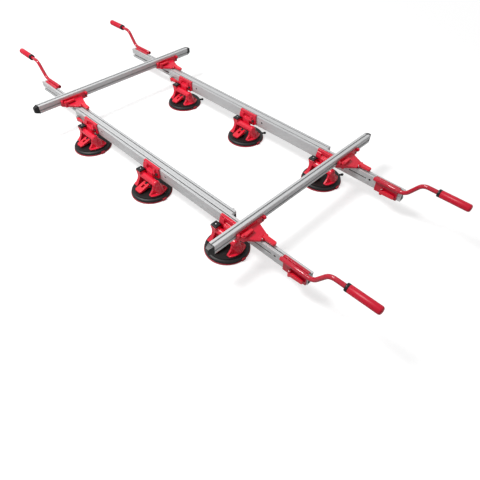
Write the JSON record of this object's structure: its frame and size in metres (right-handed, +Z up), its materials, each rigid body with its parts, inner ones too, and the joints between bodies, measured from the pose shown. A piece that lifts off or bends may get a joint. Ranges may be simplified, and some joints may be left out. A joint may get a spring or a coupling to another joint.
{
  "type": "glass panel lifter",
  "caption": "Glass panel lifter: telescopic aluminium rails on lever vacuum cups, joined by sliding crossbars in red cast saddles, with a bent carrying handle at each rail end",
  "frame": {"origin": "centre of the lifter's bounding box, on the plane of the pads' undersides", "axes": "+X along the rails towards the near end, +Y across towards the right rail, +Z up"},
  "size_m": [2.492, 1.039, 0.2351],
  "materials": {
    "aluminium": "satin mill finish",
    "black_plastic": "matt black",
    "pad_rubber": "black rubber, red lip",
    "red_casting": "glossy red paint",
    "red_cup_frame": "glossy red",
    "red_lever": "glossy red",
    "red_tube": "glossy red paint",
    "red_grip": "satin red"
  },
  "bodies": {
    "left_front": {"left_front_rail": "aluminium"},
    "left_back": {"left_back_rail": "aluminium"},
    "right_front": {"right_front_rail": "aluminium"},
    "right_back": {"right_back_rail": "aluminium"},
    "left_front_lock_lever": {"left_front_lock_lever": "red_lever"},
    "near_left_handle": {"near_left_handle": "red_tube", "near_left_grip": "red_grip"},
    "near_left_handle_lever": {"near_left_handle_lever": "red_lever"},
    "near_left_saddle": {"near_left_saddle": "red_casting"},
    "near_left_bar_lever": {"near_left_bar_lever": "red_lever"},
    "near_left_rail_lever": {"near_left_rail_lever": "red_lever"},
    "left_back_lock_lever": {"left_back_lock_lever": "red_lever"},
    "far_left_handle": {"far_left_handle": "red_tube", "far_left_grip": "red_grip"},
    "far_left_handle_lever": {"far_left_handle_lever": "red_lever"},
    "far_left_saddle": {"far_left_saddle": "red_casting"},
    "far_left_bar_lever": {"far_left_bar_lever": "red_lever"},
    "far_left_rail_lever": {"far_left_rail_lever": "red_lever"},
    "right_front_lock_lever": {"right_front_lock_lever": "red_lever"},
    "near_right_handle": {"near_right_handle": "red_tube", "near_right_grip": "red_grip"},
    "near_right_handle_lever": {"near_right_handle_lever": "red_lever"},
    "near_right_saddle": {"near_right_saddle": "red_casting"},
    "near_right_bar_lever": {"near_right_bar_lever": "red_lever"},
    "near_right_rail_lever": {"near_right_rail_lever": "red_lever"},
    "right_back_lock_lever": {"right_back_lock_lever": "red_lever"},
    "far_right_handle": {"far_right_handle": "red_tube", "far_right_grip": "red_grip"},
    "far_right_handle_lever": {"far_right_handle_lever": "red_lever"},
    "far_right_saddle": {"far_right_saddle": "red_casting"},
    "far_right_bar_lever": {"far_right_bar_lever": "red_lever"},
    "far_right_rail_lever": {"far_right_rail_lever": "red_lever"},
    "near_crossbar": {"near_crossbar": "aluminium", "near_crossbar_plugs": "black_plastic"},
    "far_crossbar": {"far_crossbar": "aluminium", "far_crossbar_plugs": "black_plastic"},
    "left_far_cup": {"left_far_cup_pad": "pad_rubber", "left_far_cup_frame": "red_cup_frame", "left_far_cup_bracket": "red_casting"},
    "left_far_cup_lever": {"left_far_cup_lever": "red_lever"},
    "left_middle_cup": {"left_middle_cup_pad": "pad_rubber", "left_middle_cup_frame": "red_cup_frame", "left_middle_cup_bracket": "red_casting"},
    "left_middle_cup_lever": {"left_middle_cup_lever": "red_lever"},
    "left_near_cup": {"left_near_cup_pad": "pad_rubber", "left_near_cup_frame": "red_cup_frame", "left_near_cup_bracket": "red_casting"},
    "left_near_cup_lever": {"left_near_cup_lever": "red_lever"},
    "right_far_cup": {"right_far_cup_pad": "pad_rubber", "right_far_cup_frame": "red_cup_frame", "right_far_cup_bracket": "red_casting"},
    "right_far_cup_lever": {"right_far_cup_lever": "red_lever"},
    "right_middle_cup": {"right_middle_cup_pad": "pad_rubber", "right_middle_cup_frame": "red_cup_frame", "right_middle_cup_bracket": "red_casting"},
    "right_middle_cup_lever": {"right_middle_cup_lever": "red_lever"},
    "right_near_cup": {"right_near_cup_pad": "pad_rubber", "right_near_cup_frame": "red_cup_frame", "right_near_cup_bracket": "red_casting"},
    "right_near_cup_lever": {"right_near_cup_lever": "red_lever"}
  },
  "joints": [
    {"name": "left_telescope", "type": "slide", "parent": "left_front", "child": "left_back", "axis": [-1, 0, 0], "range_m": [-0.35, 0.7]},
    {"name": "rail_spacing", "type": "slide", "parent": "left_front", "child": "right_front", "axis": [0, 1, 0], "range_m": [-0.3, 0.08]},
    {"name": "right_telescope", "type": "slide", "parent": "right_front", "child": "right_back", "axis": [-1, 0, 0], "range_m": [-0.35, 0.7]},
    {"name": "left_front_lock", "type": "hinge", "parent": "left_front", "child": "left_front_lock_lever", "pos_m": [-0.547, -0.3415, 0.1005], "axis": [0, 0, -1], "range_deg": [0, 120]},
    {"name": "near_left_handle_slide", "type": "slide", "parent": "left_front", "child": "near_left_handle", "axis": [1, 0, 0], "range_m": [-0.05, 0.05]},
    {"name": "near_left_handle_clamp", "type": "hinge", "parent": "near_left_handle", "child": "near_left_handle_lever", "pos_m": [0.897, -0.3408, 0.0945], "axis": [0, 0, -1], "range_deg": [0, 110]},
    {"name": "near_left_saddle_slide", "type": "slide", "parent": "left_front", "child": "near_left_saddle", "axis": [1, 0, 0], "range_m": [-0.3, 0.04]},
    {"name": "near_left_bar_lever_swing", "type": "hinge", "parent": "near_left_saddle", "child": "near_left_bar_lever", "pos_m": [0.6979, -0.3733, 0.1621], "axis": [0, 0, -1], "range_deg": [0, 90]},
    {"name": "near_left_rail_lever_swing", "type": "hinge", "parent": "near_left_saddle", "child": "near_left_rail_lever", "pos_m": [0.7439, -0.3073, 0.1449], "axis": [0, -1, 0], "range_deg": [0, 90]},
    {"name": "left_back_lock", "type": "hinge", "parent": "left_back", "child": "left_back_lock_lever", "pos_m": [0.529, -0.2615, 0.1005], "axis": [0, 0, -1], "range_deg": [0, 120]},
    {"name": "far_left_handle_slide", "type": "slide", "parent": "left_back", "child": "far_left_handle", "axis": [-1, 0, 0], "range_m": [-0.05, 0.05]},
    {"name": "far_left_handle_clamp", "type": "hinge", "parent": "far_left_handle", "child": "far_left_handle_lever", "pos_m": [-0.897, -0.2622, 0.0945], "axis": [0, 0, -1], "range_deg": [0, 110]},
    {"name": "far_left_saddle_slide", "type": "slide", "parent": "left_back", "child": "far_left_saddle", "axis": [1, 0, 0], "range_m": [-0.1, 0.3]},
    {"name": "far_left_bar_lever_swing", "type": "hinge", "parent": "far_left_saddle", "child": "far_left_bar_lever", "pos_m": [-0.6241, -0.3457, 0.1621], "axis": [0, 0, -1], "range_deg": [0, 90]},
    {"name": "far_left_rail_lever_swing", "type": "hinge", "parent": "far_left_saddle", "child": "far_left_rail_lever", "pos_m": [-0.5781, -0.2797, 0.1449], "axis": [0, -1, 0], "range_deg": [0, 90]},
    {"name": "right_front_lock", "type": "hinge", "parent": "right_front", "child": "right_front_lock_lever", "pos_m": [-0.547, 0.2785, 0.1005], "axis": [0, 0, -1], "range_deg": [0, 120]},
    {"name": "near_right_handle_slide", "type": "slide", "parent": "right_front", "child": "near_right_handle", "axis": [1, 0, 0], "range_m": [-0.05, 0.05]},
    {"name": "near_right_handle_clamp", "type": "hinge", "parent": "near_right_handle", "child": "near_right_handle_lever", "pos_m": [0.885, 0.2792, 0.0945], "axis": [0, 0, -1], "range_deg": [0, 110]},
    {"name": "near_right_saddle_slide", "type": "slide", "parent": "right_front", "child": "near_right_saddle", "axis": [1, 0, 0], "range_m": [-0.3, 0.04]},
    {"name": "near_right_bar_lever_swing", "type": "hinge", "parent": "near_right_saddle", "child": "near_right_bar_lever", "pos_m": [0.6979, 0.2467, 0.1621], "axis": [0, 0, -1], "range_deg": [0, 90]},
    {"name": "near_right_rail_lever_swing", "type": "hinge", "parent": "near_right_saddle", "child": "near_right_rail_lever", "pos_m": [0.7439, 0.3127, 0.1449], "axis": [0, -1, 0], "range_deg": [0, 90]},
    {"name": "right_back_lock", "type": "hinge", "parent": "right_back", "child": "right_back_lock_lever", "pos_m": [0.529, 0.3585, 0.1005], "axis": [0, 0, -1], "range_deg": [0, 120]},
    {"name": "far_right_handle_slide", "type": "slide", "parent": "right_back", "child": "far_right_handle", "axis": [-1, 0, 0], "range_m": [-0.05, 0.05]},
    {"name": "far_right_handle_clamp", "type": "hinge", "parent": "far_right_handle", "child": "far_right_handle_lever", "pos_m": [-0.897, 0.3578, 0.0945], "axis": [0, 0, -1], "range_deg": [0, 110]},
    {"name": "far_right_saddle_slide", "type": "slide", "parent": "right_back", "child": "far_right_saddle", "axis": [1, 0, 0], "range_m": [-0.1, 0.3]},
    {"name": "far_right_bar_lever_swing", "type": "hinge", "parent": "far_right_saddle", "child": "far_right_bar_lever", "pos_m": [-0.6241, 0.2743, 0.1621], "axis": [0, 0, -1], "range_deg": [0, 90]},
    {"name": "far_right_rail_lever_swing", "type": "hinge", "parent": "far_right_saddle", "child": "far_right_rail_lever", "pos_m": [-0.5781, 0.3403, 0.1449], "axis": [0, -1, 0], "range_deg": [0, 90]},
    {"name": "near_crossbar_slide", "type": "slide", "parent": "near_left_saddle", "child": "near_crossbar", "axis": [0, 1, 0], "range_m": [-0.07, 0.07]},
    {"name": "far_crossbar_slide", "type": "slide", "parent": "far_left_saddle", "child": "far_crossbar", "axis": [0, 1, 0], "range_m": [-0.07, 0.07]},
    {"name": "left_far_cup_slide", "type": "slide", "parent": "left_front", "child": "left_far_cup", "axis": [1, 0, 0], "range_m": [0, 0.12]},
    {"name": "left_far_cup_flip", "type": "hinge", "parent": "left_far_cup", "child": "left_far_cup_lever", "pos_m": [-0.432, -0.3673, 0.04], "axis": [-1, 0, 0], "range_deg": [0, 55]},
    {"name": "left_middle_cup_slide", "type": "slide", "parent": "left_front", "child": "left_middle_cup", "axis": [1, 0, 0], "range_m": [-0.12, 0.12]},
    {"name": "left_middle_cup_flip", "type": "hinge", "parent": "left_middle_cup", "child": "left_middle_cup_lever", "pos_m": [0.073, -0.3673, 0.04], "axis": [-1, 0, 0], "range_deg": [0, 55]},
    {"name": "left_near_cup_slide", "type": "slide", "parent": "left_front", "child": "left_near_cup", "axis": [1, 0, 0], "range_m": [-0.12, 0.08]},
    {"name": "left_near_cup_flip", "type": "hinge", "parent": "left_near_cup", "child": "left_near_cup_lever", "pos_m": [0.578, -0.3673, 0.04], "axis": [-1, 0, 0], "range_deg": [0, 55]},
    {"name": "right_far_cup_slide", "type": "slide", "parent": "right_front", "child": "right_far_cup", "axis": [1, 0, 0], "range_m": [0, 0.12]},
    {"name": "right_far_cup_flip", "type": "hinge", "parent": "right_far_cup", "child": "right_far_cup_lever", "pos_m": [-0.432, 0.2527, 0.04], "axis": [-1, 0, 0], "range_deg": [0, 55]},
    {"name": "right_middle_cup_slide", "type": "slide", "parent": "right_front", "child": "right_middle_cup", "axis": [1, 0, 0], "range_m": [-0.12, 0.12]},
    {"name": "right_middle_cup_flip", "type": "hinge", "parent": "right_middle_cup", "child": "right_middle_cup_lever", "pos_m": [0.073, 0.2527, 0.04], "axis": [-1, 0, 0], "range_deg": [0, 55]},
    {"name": "right_near_cup_slide", "type": "slide", "parent": "right_front", "child": "right_near_cup", "axis": [1, 0, 0], "range_m": [-0.12, 0.08]},
    {"name": "right_near_cup_flip", "type": "hinge", "parent": "right_near_cup", "child": "right_near_cup_lever", "pos_m": [0.578, 0.2527, 0.04], "axis": [-1, 0, 0], "range_deg": [0, 55]}
  ],
  "couplings": [
    {"joint": "right_telescope", "follows": "left_telescope", "ratio": 1},
    {"joint": "near_right_saddle_slide", "follows": "near_left_saddle_slide", "ratio": 1},
    {"joint": "far_right_saddle_slide", "follows": "far_left_saddle_slide", "ratio": 1}
  ]
}
